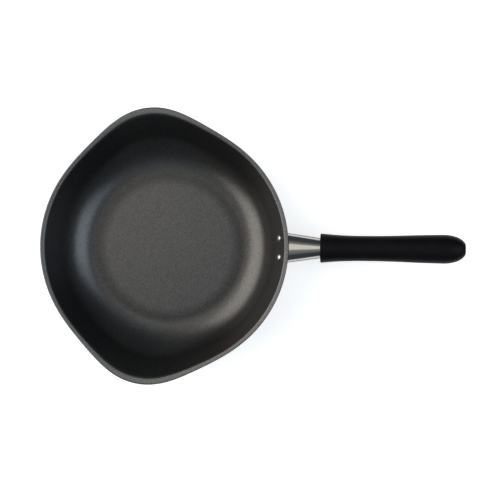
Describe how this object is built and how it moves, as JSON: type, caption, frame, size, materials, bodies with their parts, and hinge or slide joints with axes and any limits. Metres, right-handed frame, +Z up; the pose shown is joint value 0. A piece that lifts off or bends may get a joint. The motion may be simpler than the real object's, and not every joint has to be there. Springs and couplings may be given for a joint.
{
  "type": "omelette pan",
  "caption": "Round drawn-iron frying pan with a turned lip, a pouring ear on each side, and a long bolted resin handle on a tapered steel neck.",
  "frame": {"origin": "middle of the pan's flat base, on the surface that it stands on", "axes": "+X from the middle of the pan along the handle, +Z up out of the bowl"},
  "size_m": [0.4316, 0.2836, 0.0737],
  "materials": {
    "iron": "nitrided sheet iron, dark grey, satin with a fine orange peel",
    "stainless": "polished stainless steel",
    "resin": "black phenolic resin, satin",
    "rivet_steel": "bright domed rivet heads",
    "plated_steel": "zinc-plated steel"
  },
  "bodies": {
    "root": {"pan_body": "iron", "rivets": "rivet_steel", "handle_bracket": "plated_steel", "neck_ferrule": "stainless", "grip": "resin", "tie_bolt": "plated_steel", "bracket_nut": "plated_steel", "flat_washer": "plated_steel", "spring_washer": "plated_steel"}
  },
  "joints": []
}
